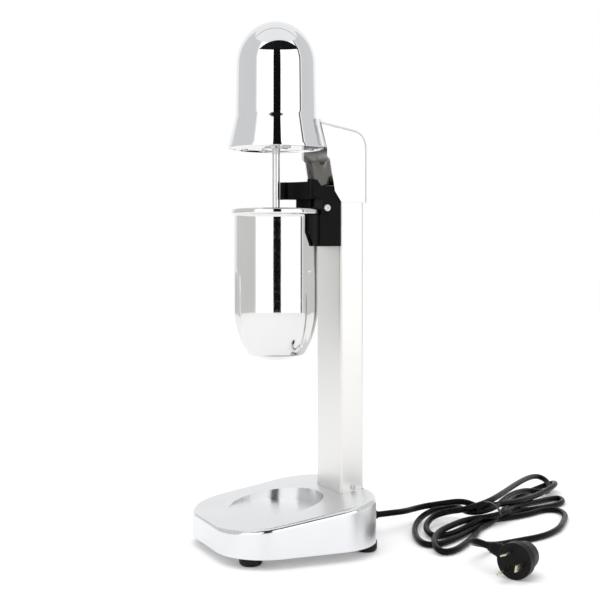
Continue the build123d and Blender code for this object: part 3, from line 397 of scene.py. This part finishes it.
def refined(name, key, body, *names, edge=0.0, sharp=32.0):
    """A CAD shape with eased edges and even shading, which takes the place of its nodes."""
    piece = merged_copy(name, *names)
    shape = bmesh.new()
    shape.from_mesh(piece.data)
    if edge:
        bmesh.ops.dissolve_limit(shape, angle_limit=math.radians(0.6), verts=shape.verts, edges=shape.edges,
                                 delimit={"NORMAL"})
    for face in shape.faces:
        face.smooth = True
    for line in shape.edges:
        line.smooth = not (line.is_manifold and line.calc_face_angle(0) > math.radians(sharp))
    shape.to_mesh(piece.data)
    shape.free()
    if edge:
        ease = piece.modifiers.new("ease", "BEVEL")
        ease.width = edge
        ease.segments = 2
        ease.limit_method = "ANGLE"
        ease.angle_limit = math.radians(sharp)
        ease.harden_normals = True
    even = piece.modifiers.new("even", "WEIGHTED_NORMAL")
    even.keep_sharp = True
    even.weight = 80
    piece = baked(piece)
    dress(piece, key)
    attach(piece, body)
    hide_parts(*names)
    return piece


# --------------------------------------------------------------- node trees
class TreeMaker:
    """Short names for building a Geometry Nodes tree."""

    def __init__(self, name):
        self.tree = bpy.data.node_groups.new(name, "GeometryNodeTree")
        self.face = self.tree.interface
        self.face.new_socket("Geometry", in_out="INPUT", socket_type="NodeSocketGeometry")
        self.face.new_socket("Geometry", in_out="OUTPUT", socket_type="NodeSocketGeometry")
        self.given = self.tree.nodes.new("NodeGroupInput")
        self.result = self.tree.nodes.new("NodeGroupOutput")

    def input(self, name, kind, default=None):
        socket = self.face.new_socket(name, in_out="INPUT", socket_type="NodeSocket" + kind)
        if default is not None:
            socket.default_value = default
        return self.given.outputs[name]

    def node(self, kind, inputs=(), **values):
        node = self.tree.nodes.new(kind)
        for name, value in values.items():
            setattr(node, name, value)
        for key, value in dict(inputs).items():
            socket = node.inputs[key]
            if isinstance(value, bpy.types.NodeSocket):
                self.tree.links.new(value, socket)
            else:
                socket.default_value = value
        return node

    def math(self, operation, *values):
        node = self.node("ShaderNodeMath", operation=operation)
        for index, value in enumerate(values):
            if isinstance(value, bpy.types.NodeSocket):
                self.tree.links.new(value, node.inputs[index])
            else:
                node.inputs[index].default_value = value
        return node.outputs["Value"]

    def end(self, geometry, material):
        real = self.node("GeometryNodeRealizeInstances", {"Geometry": geometry})
        coat = self.node("GeometryNodeSetMaterial", {"Geometry": real.outputs[0], "Material": material})
        self.tree.links.new(coat.outputs["Geometry"], self.result.inputs[0])
        return self.tree


def run_tree(piece, tree, **values):
    """Runs a node tree on a piece and keeps the result as a plain mesh."""
    maker = piece.modifiers.new(tree.name, "NODES")
    maker.node_group = tree
    for socket in tree.interface.items_tree:
        if socket.item_type == "SOCKET" and socket.in_out == "INPUT":
            key = socket.name.lower().replace(" ", "_")
            if key in values:
                maker[socket.identifier] = values[key]
    return baked(piece)


def turned_tree():
    """Turns a half section round the spindle, with flutes pressed into it where they are asked for."""
    make = TreeMaker("turned_shell")
    section = make.given.outputs["Geometry"]
    steps = make.input("Steps", "Int", 128)
    centre = make.input("Centre", "Float", 0.0)
    flutes = make.input("Flutes", "Float", 1.0)
    depth = make.input("Flute Depth", "Float", 0.0)
    width = make.input("Flute Width", "Float", 0.3)
    turn = make.input("Flute Turn", "Float", 0.0)
    bottom = make.input("Flute Bottom", "Float", 0.0)
    top = make.input("Flute Top", "Float", 0.1)
    material = make.input("Material", "Material")
    count = make.node("GeometryNodeAttributeDomainSize", {"Geometry": section}).outputs["Point Count"]
    columns = make.math("ADD", steps, 1.0)
    grid = make.node("GeometryNodeMeshGrid", {"Size X": 1.0, "Size Y": 1.0, "Vertices X": columns,
                                              "Vertices Y": count}).outputs["Mesh"]
    index = make.node("GeometryNodeInputIndex").outputs[0]
    column = make.math("FLOOR", make.math("DIVIDE", make.math("ADD", index, 0.5), count))
    row = make.math("SUBTRACT", index, make.math("MULTIPLY", column, count))
    point = make.node("GeometryNodeSampleIndex", data_type="FLOAT_VECTOR")
    make.tree.links.new(section, point.inputs["Geometry"])
    make.tree.links.new(make.node("GeometryNodeInputPosition").outputs[0], point.inputs["Value"])
    make.tree.links.new(row, point.inputs["Index"])
    split = make.node("ShaderNodeSeparateXYZ", {"Vector": point.outputs["Value"]})
    radius, height = split.outputs["X"], split.outputs["Z"]
    angle = make.math("MULTIPLY", make.math("DIVIDE", column, steps), 2 * math.pi)
    sector = make.math("DIVIDE", 2 * math.pi, flutes)
    half = make.math("MULTIPLY", sector, 0.5)
    offset = make.math("WRAP", make.math("SUBTRACT", angle, turn), half, make.math("MULTIPLY", half, -1.0))
    near = make.math("SUBTRACT", 1.0, make.math("MINIMUM", 1.0, make.math(
        "DIVIDE", make.math("ABSOLUTE", offset), width)))
    across = make.math("SMOOTH_MIN", make.math("MULTIPLY", near, 1.7), 1.0, 0.5)
    rise = make.math("DIVIDE", make.math("SUBTRACT", height, bottom), make.math("SUBTRACT", top, bottom))
    clamped = make.node("ShaderNodeClamp", {"Value": rise}).outputs[0]
    hump = make.math("SINE", make.math("MULTIPLY", clamped, math.pi))
    along = make.math("POWER", hump, 0.6)
    press = make.math("MULTIPLY", depth, make.math("MULTIPLY", across, along))
    held = make.math("MULTIPLY", press, make.math("MINIMUM", 1.0, make.math("DIVIDE", radius, 0.02)))
    reach = make.math("SUBTRACT", radius, held)
    place = make.node("ShaderNodeCombineXYZ", {
        "X": make.math("MULTIPLY", reach, make.math("COSINE", angle)),
        "Y": make.math("ADD", centre, make.math("MULTIPLY", reach, make.math("SINE", angle))),
        "Z": height}).outputs[0]
    moved = make.node("GeometryNodeSetPosition", {"Geometry": grid, "Position": place}).outputs[0]
    closed = make.node("GeometryNodeMergeByDistance", {"Geometry": moved, "Distance": 1e-6}).outputs[0]
    smooth = make.node("GeometryNodeSetShadeSmooth", {"Geometry": closed}).outputs[0]
    return make.end(smooth, material)


def turned(name, key, body, section, replaced=(), steps=192, **flutes):
    """A piece turned from a half section of (radius, height) points, closed on itself."""
    mesh = bpy.data.meshes.new(name)
    mesh.from_pydata([(r, 0, z) for r, z in section], [(i, i + 1) for i in range(len(section) - 1)], [])
    piece = link_piece(name, mesh)
    if "turned_tree" not in made:
        made["turned_tree"] = turned_tree()
    piece = run_tree(piece, made["turned_tree"], steps=steps, centre=spindle_y, material=finish_of(key), **flutes)
    shape = bmesh.new()
    shape.from_mesh(piece.data)
    bmesh.ops.dissolve_degenerate(shape, edges=shape.edges, dist=1e-7)
    bmesh.ops.recalc_face_normals(shape, faces=shape.faces)
    for line in shape.edges:
        line.smooth = not (line.is_manifold and line.calc_face_angle(0) > math.radians(38))
    shape.to_mesh(piece.data)
    shape.free()
    dress(piece, key)
    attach(piece, body)
    if replaced:
        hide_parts(*replaced)
    return piece


def arc(centre, radius, start, end, count, squash=1.0):
    """Points on a round from one angle to another, in degrees; squash flattens it upright."""
    steps = [math.radians(start + (end - start) * i / count) for i in range(count + 1)]
    return [(centre[0] + radius * math.cos(a), centre[1] + radius * squash * math.sin(a)) for a in steps]


def straight(start, end, count):
    return [(start[0] + (end[0] - start[0]) * i / count, start[1] + (end[1] - start[1]) * i / count)
            for i in range(1, count)]


# --------------------------------------------------------------- operators
class MIXER_OT_stage(bpy.types.Operator):
    """Sets the camera, the white floor and surround, and the cards that the metal mirrors"""
    bl_idname = "mixer.stage"
    bl_label = "Studio"

    def execute(self, context):
        stage = context.scene.mixer_stage
        turn = stage.camera_turn
        towards = Vector((math.sin(turn), -math.cos(turn), 0))
        right = Vector((math.cos(turn), math.sin(turn), 0))
        spindle = Vector((0, spindle_y, 0))
        lens = bpy.data.cameras.new("studio_camera")
        lens.sensor_width = 36
        lens.lens = stage.camera_lens
        lens.shift_y = stage.camera_shift
        lens.clip_end = 50
        camera = bpy.data.objects.new("studio_camera", lens)
        context.scene.collection.objects.link(camera)
        camera.location = spindle + towards * stage.camera_distance + right * stage.camera_side + Vector(
            (0, 0, stage.camera_height))
        camera.rotation_euler = (math.pi / 2, 0, turn)
        context.scene.camera = camera
        context.scene.view_settings.view_transform = "Standard"

        world = bpy.data.worlds.new("studio_surround")
        world.use_nodes = True
        world.node_tree.nodes["Background"].inputs["Color"].default_value = (1, 1, 1, 1)
        world.node_tree.nodes["Background"].inputs["Strength"].default_value = stage.sky_strength
        context.scene.world = world

        floor = self.card("studio_floor", spindle, Vector((1, 0, 0)), Vector((0, 1, 0)), 14, 14)
        floor_finish = bpy.data.materials.new("studio_floor")
        floor_finish.use_nodes = True
        shader = floor_finish.node_tree.nodes["Principled BSDF"]
        shader.inputs["Base Color"].default_value = (*stage.floor_tone, 1)
        shader.inputs["Roughness"].default_value = 0.9
        shader.inputs["Specular IOR Level"].default_value = 0.0
        shader.inputs["Emission Color"].default_value = (1, 1, 1, 1)
        shader.inputs["Emission Strength"].default_value = 0.14
        floor.data.materials.append(floor_finish)

        lamp = bpy.data.lights.new("overhead_light", "AREA")
        lamp.shape = "DISK"
        lamp.size = 2.6
        lamp.energy = stage.lamp_power
        overhead = bpy.data.objects.new("overhead_light", lamp)
        overhead.location = spindle + towards * 0.5 - right * 0.5 + Vector((0, 0, 2.6))
        overhead.rotation_euler = (spindle - overhead.location).to_track_quat("-Z", "Y").to_euler()
        overhead.visible_camera = False
        overhead.visible_glossy = False
        context.scene.collection.objects.link(overhead)

        far, box_top, canopy_z = 1.9, 2.7, 1.62

        def stand(name, start, end, low_z, high_z, tone):
            """A curved upright card round the spindle, between two angles from the camera's direction."""
            points, steps = [], 12
            for i in range(steps + 1):
                a = math.radians(start + (end - start) * i / steps)
                way = towards * math.cos(a) + right * math.sin(a)
                foot = spindle + way * far
                points += [foot + Vector((0, 0, low_z)), foot + Vector((0, 0, high_z))]
            mesh = bpy.data.meshes.new(name)
            mesh.from_pydata(points, [], [(2 * i, 2 * i + 2, 2 * i + 3, 2 * i + 1) for i in range(steps)])
            card = link_piece(name, mesh)
            self.glow(card, tone)
            return card

        strength = stage.box_strength
        stand("soft_box_left", -54, -6.0, 0.0, box_top, strength)
        stand("soft_box_right", 14.5, 70, 0.0, box_top, strength)
        stand("dark_gap", -6.0, 14.5, 0.0, 2.2, 0.006)
        stand("dark_seam", 72.5, 76, 0.0, box_top, 0.03)
        stand("grey_left", -135, -58, 0.0, box_top, 0.74)
        stand("grey_right", 80, 140, 0.0, box_top, 0.74)
        rim = [math.radians(-54.5 + 133 * i / 16) for i in range(17)]
        canopy = bpy.data.meshes.new("dark_canopy")
        canopy.from_pydata([spindle + (towards * math.cos(a) + right * math.sin(a)) * far + Vector((0, 0, canopy_z))
                            for a in rim], [], [tuple(range(len(rim)))])
        self.glow(link_piece("dark_canopy", canopy), 0.01)
        strip = self.card("dark_strip", spindle - towards * 0.41 + Vector((0, 0, box_top)), right, towards, 5.0, 0.06)
        self.glow(strip, 0.05)
        return {"FINISHED"}

    def card(self, name, centre, across, up, width, height):
        mesh = bpy.data.meshes.new(name)
        a, b = across * width / 2, up * height / 2
        mesh.from_pydata([centre - a - b, centre + a - b, centre + a + b, centre - a + b], [], [(0, 1, 2, 3)])
        return link_piece(name, mesh)

    def glow(self, card, tone):
        light = bpy.data.materials.new(card.name)
        light.use_nodes = True
        tree = light.node_tree
        tree.nodes.clear()
        glow = tree.nodes.new("ShaderNodeEmission")
        glow.inputs["Color"].default_value = (1, 1, 1, 1)
        glow.inputs["Strength"].default_value = tone
        out = tree.nodes.new("ShaderNodeOutputMaterial")
        tree.links.new(glow.outputs[0], out.inputs["Surface"])
        card.data.materials.append(light)
        card.visible_camera = False
        card.visible_diffuse = False
        card.visible_shadow = False


class MIXER_OT_cord(bpy.types.Operator):
    """Lays the mains cord in its tied hank and dresses the plug on its end"""
    bl_idname = "mixer.cord"
    bl_label = "Cord and plug"

    route = [
        (0, 108, 20), (0, 127, 20), (-8, 146, 18), (-20, 163, 16), (-27, 183, 16), (-7, 191, 22), (6, 211, 26),
        (15, 225, 19), (0, 263, 16), (-13, 300, 13), (-44, 352, 10.5), (-66, 387, 12), (-84, 404, 11),
        (-98, 404, 7), (-95, 385, 4), (-78, 352, 3.5), (-50, 311, 4), (10, 256, 7), (25, 233, 4),
        (40, 207, 3.5), (61, 189, 3.5), (84, 162, 3.5), (101, 138, 3.5), (102, 122, 4), (80, 127, 6.5),
        (54, 147, 9), (40, 172, 10.4), (24, 204, 10.4), (25, 233, 10.4), (16, 260, 11), (-6, 283, 9.5),
        (-24, 321, 6), (-39, 356, 4), (-44, 378, 3.4), (-23, 368, 3.4), (-12, 344, 3.4), (-8, 317, 3.4),
        (-9, 292, 3.4), (14, 252, 5.5), (22, 224, 10.4), (35, 202, 8), (38, 189, 4.5), (48, 165, 3.6),
        (51, 145, 4.5), (21, 153, 6), (-3, 176, 10), (-2, 195, 14), (20, 203, 20), (17, 233, 24),
        (-6, 266, 24), (-67, 337, 21), (-100, 380, 18), (-108, 400, 14), (-92, 400, 9), (-69, 382, 4.5),
        (-69, 366, 6), (-72, 348, 9.5), (-39, 301, 14), (20, 241, 17), (20, 208, 15), (-24, 222, 14),
        (-30, 200, 11.5), (-18, 171, 7), (18, 141, 4.5), (60, 123, 3.6), (77, 130, 3.5), (66, 158, 3.5),
        (47, 189, 3.5), (24, 222, 4), (14, 246, 4), (12, 272, 3.4), (7, 298, 3.4),
        (-2, 322, 3.4), (4, 337, 3.4), (26, 332, 3.4), (52, 309, 3.4), (77, 282, 3.4), (93, 250, 3.4),
        (97, 214, 3.4), (104, 185, 4.6), (117, 161, 11), (128, 141, 18), (139.5, 131.5, 23.5),
        (153.3, 131.1, 25.5), (162.6, 136.5, 23.2),
    ]

    def execute(self, context):
        cord_settings = context.scene.mixer_cord
        curve = bpy.data.curves.new("mains_cord", "CURVE")
        curve.dimensions = "3D"
        line = curve.splines.new("NURBS")
        line.points.add(len(self.route) - 1)
        for point, place in zip(line.points, self.route):
            point.co = (*(value / 1000 for value in place), 1)
        line.order_u = 3
        line.use_endpoint_u = True
        line.resolution_u = 10
        curve.bevel_depth = cord_settings.diameter / 2
        curve.bevel_resolution = 6
        curve.use_fill_caps = True
        cord = bpy.data.objects.new("mains_cord", curve)
        context.scene.collection.objects.link(cord)
        dress(cord, "jacket")
        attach(cord, "frame")
        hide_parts("cord_lead", "cord_hank", "cord_tail")
        tie = refined("twist_tie", "tie_wire", "frame", "cord_tie")
        body = refined("plug_shell", "plug_black", "frame", "plug_body", edge=0.0006)
        relief = refined("plug_sleeve", "plug_black", "frame", "plug_relief")
        pins = refined("plug_blades", "pin_metal", "frame", "plug_pins", edge=0.0003)
        gland = refined("cord_sleeve", "black_satin", "frame", "cord_gland")
        return {"FINISHED"}


class MIXER_OT_bell(bpy.types.Operator):
    """Spins the chrome bell over the motor, with its flared rim and sharp crease"""
    bl_idname = "mixer.bell"
    bl_label = "Bell"

    def execute(self, context):
        bell = context.scene.mixer_bell
        rim_z = low("head_bell").z
        shoulder_z = high("head_bell").z - bell.dome_height
        crease = (bell.crease_radius, rim_z + bell.crease_height)
        shoulder = (bell.shoulder_radius, shoulder_z)
        wall = bell.wall
        rim = arc((bell.rim_radius - wall / 2, rim_z + wall / 2), wall / 2, -170, -10, 8)
        outside = rim + straight(rim[-1], crease, 10) + [
            (crease[0] + 0.0002, crease[1] - 0.0009), crease, (crease[0] - 0.00004, crease[1] + 0.0008)]
        outside += straight(crease, shoulder, 12)
        outside += arc((0, shoulder_z), bell.shoulder_radius, 0, 90, 40, bell.dome_height / bell.shoulder_radius)
        outside[-1] = (0.0, high("head_bell").z)
        inside = arc((0, shoulder_z), bell.shoulder_radius - wall, 90, 0, 32,
                     (bell.dome_height - wall) / (bell.shoulder_radius - wall))
        inside[0] = (0.0, high("head_bell").z - wall)
        inside += straight(inside[-1], (crease[0] - wall, crease[1]), 6) + [(crease[0] - wall, crease[1])]
        section = outside + inside + straight((crease[0] - wall, crease[1]), rim[0], 6) + [rim[0]]
        turned("chrome_bell", "bell_chrome", "frame", section, ["head_bell"], steps=192)
        refined("bell_base_plate", "mirror_sheet", "frame", "head_bottom_plate", edge=0.0003)
        refined("bell_rim_ring", "bell_chrome", "frame", "head_rim_ring")
        refined("spindle_bearing_cap", "mirror_sheet", "frame", "bearing_cap", edge=0.0004)
        return {"FINISHED"}


class MIXER_OT_spindle(bpy.types.Operator):
    """Turns the polished spindle and dresses the mixing disc on its end"""
    bl_idname = "mixer.spindle"
    bl_label = "Spindle and mixing disc"

    def execute(self, context):
        radius = 0.00375
        bottom = high("agitator").z
        top = low("bearing_cap").z + 0.0008
        section = [(0.0, bottom - 0.007), (0.002, bottom - 0.007), (0.002, bottom), (radius - 0.0004, bottom),
                   (radius, bottom + 0.0004)]
        section += straight(section[-1], (radius, top), 24)
        section += [(radius, top), (0.0025, top), (0.0025, high("spindle").z), (0.0, high("spindle").z)]
        turned("drive_rod", "bright_steel", "rotor", section, ["spindle"], steps=48)
        refined("mixing_disc", "bright_steel", "rotor", "agitator", edge=0.0003)
        refined("mixing_disc_nut", "bright_steel", "rotor", "agitator_nut")
        return {"FINISHED"}


class MIXER_OT_cup(bpy.types.Operator):
    """Draws the steel cup with its rolled bead, stepped foot and pressed flutes"""
    bl_idname = "mixer.cup"
    bl_label = "Cup"

    def execute(self, context):
        cup = context.scene.mixer_cup
        z0 = low("cup").z
        top = high("cup").z
        wall = cup.wall
        bead_bottom = top - cup.bead_height
        foot = (cup.foot_radius, z0 + cup.foot_height)
        drop = cup.shoulder_height - cup.foot_height
        inset = cup.side_radius - cup.foot_radius
        curve = (drop ** 2 + inset ** 2) / (2 * inset)
        centre = (cup.side_radius - curve, z0 + cup.shoulder_height)
        lowest = math.degrees(math.asin(-drop / curve))
        outer = [(0.0, z0), (0.010, z0), (cup.flat_radius - 0.0008, z0), (cup.flat_radius, z0 + 0.0002)]
        outer += straight(outer[-1], foot, 4) + [(foot[0] - 0.0004, foot[1] - 0.0003)]
        outer += arc(centre, curve, lowest, 0, 30)
        outer += straight(outer[-1], (cup.side_radius, bead_bottom - 0.0012), 30)
        outer += [(cup.side_radius, bead_bottom - 0.0012), (cup.side_radius + 0.0003, bead_bottom - 0.0004)]
        roll = 0.0022
        edge = cup.bead_radius - roll
        outer += arc((edge, bead_bottom + roll), roll, -90, 0, 8)
        outer += arc((edge, top - roll), roll, 0, 90, 8)
        inner_r = cup.side_radius - wall
        outer += arc((inner_r + 0.0012, top - 0.0012), 0.0012, 90, 180, 6)
        inner = straight(outer[-1], (inner_r, z0 + cup.shoulder_height), 30)
        inner += arc(centre, curve - wall, 0, lowest, 24)
        inner += [(foot[0] - wall, foot[1] + wall)]
        inner += straight(inner[-1], (cup.flat_radius - wall, z0 + wall), 4)
        inner += [(cup.flat_radius - wall, z0 + wall), (0.010, z0 + wall), (0.0, z0 + wall)]
        turned("steel_cup", "cup_steel", "cup", outer + inner, ["cup"], steps=240, flutes=float(cup.flutes),
               flute_depth=cup.flute_depth, flute_width=cup.flute_width, flute_turn=cup.flute_turn,
               flute_bottom=z0 + cup.flute_bottom, flute_top=z0 + cup.flute_top)
        return {"FINISHED"}


class MIXER_OT_base(bpy.types.Operator):
    """Refines the cast base and the four rubber feet"""
    bl_idname = "mixer.base"
    bl_label = "Base"

    def execute(self, context):
        refined("base_body", "cast_satin", "frame", "base_casting")
        refined("rubber_feet", "foot_rubber", "frame", "foot_front_left", "foot_front_right", "foot_rear_left",
                "foot_rear_right")
        return {"FINISHED"}


class MIXER_OT_stand(bpy.types.Operator):
    """Refines the steel column, the folded arm and the saddle that holds the bell"""
    bl_idname = "mixer.stand"
    bl_label = "Column and arm"

    def execute(self, context):
        refined("column_sheet", "column_steel", "frame", "column_tube")
        refined("arm_sheet", "arm_satin", "frame", "arm_housing")
        # the underside's steel is painted dark, a painted reflection of the black parts beneath it
        refined("arm_belly", "dark_mirror", "frame", "arm_underside", edge=0.0002)
        refined("bell_saddle", "arm_satin", "frame", "head_saddle", edge=0.0003)
        return {"FINISHED"}


class MIXER_OT_bracket(bpy.types.Operator):
    """Refines the black bracket, the cradle that holds the cup and the start lever"""
    bl_idname = "mixer.bracket"
    bl_label = "Bracket and lever"

    def execute(self, context):
        refined("bracket_block", "black_satin", "frame", "cup_bracket", edge=0.0003)
        refined("cradle_band", "black_satin", "frame", "cup_cradle", edge=0.0003)
        refined("start_lever", "black_satin", "lever", "switch_lever", edge=0.0003)
        return {"FINISHED"}


class MIXER_OT_inner(bpy.types.Operator):
    """Gives every remaining part of the model its finish"""
    bl_idname = "mixer.inner"
    bl_label = "Inner parts"

    by_slot = {"cast_aluminium": "cast_satin", "steel_sheet": "column_steel", "arm_steel": "arm_satin",
               "bell_chrome": "bell_chrome", "cup_steel": "cup_steel", "bright_steel": "bright_steel",
               "black_plastic": "black_satin", "foot_rubber": "foot_rubber", "zinc_screw": "zinc_screw",
               "laminated_iron": "laminated_iron", "copper_wire": "copper_wire", "carbon": "carbon",
               "brass": "brass", "ceramic": "ceramic", "cable_jacket": "jacket", "tie_wire": "tie_wire",
               "fan_plastic": "fan_plastic"}

    def execute(self, context):
        for row in frame["record"]["materials"]:
            for node in row.get("nodes", []):
                if node in nodes:
                    nodes[node].data.materials.clear()
                    nodes[node].data.materials.append(finish_of(self.by_slot[row["slot"]]))
        return {"FINISHED"}


class MIXER_PT_panel(bpy.types.Panel):
    """Lists the steps that dress the mixer"""
    bl_label = "Milkshake mixer"
    bl_idname = "MIXER_PT_panel"
    bl_space_type = "VIEW_3D"
    bl_region_type = "UI"
    bl_category = "Mixer"

    def draw(self, context):
        for name, group in settings_groups.items():
            box = self.layout.box()
            box.label(text=group.__doc__)
            for key in group.__annotations__:
                box.prop(getattr(context.scene, name), key)
        for step in steps:
            self.layout.operator(step.bl_idname)


steps = [MIXER_OT_stage, MIXER_OT_cord, MIXER_OT_bell, MIXER_OT_spindle, MIXER_OT_cup, MIXER_OT_base,
         MIXER_OT_stand, MIXER_OT_bracket, MIXER_OT_inner]


def register():
    for group in settings_groups.values():
        bpy.utils.register_class(group)
    for step in steps:
        bpy.utils.register_class(step)
    bpy.utils.register_class(MIXER_PT_panel)
    for name, group in settings_groups.items():
        setattr(bpy.types.Scene, name, bpy.props.PointerProperty(type=group))


def unregister():
    for name in settings_groups:
        delattr(bpy.types.Scene, name)
    bpy.utils.unregister_class(MIXER_PT_panel)
    for step in steps:
        bpy.utils.unregister_class(step)
    for group in settings_groups.values():
        bpy.utils.unregister_class(group)


def main():
    register()
    make_finishes(bpy.context.scene)
    for step in steps:
        area, action = step.bl_idname.split(".")
        getattr(getattr(bpy.ops, area), action)()


if __name__ == "__main__":
    main()
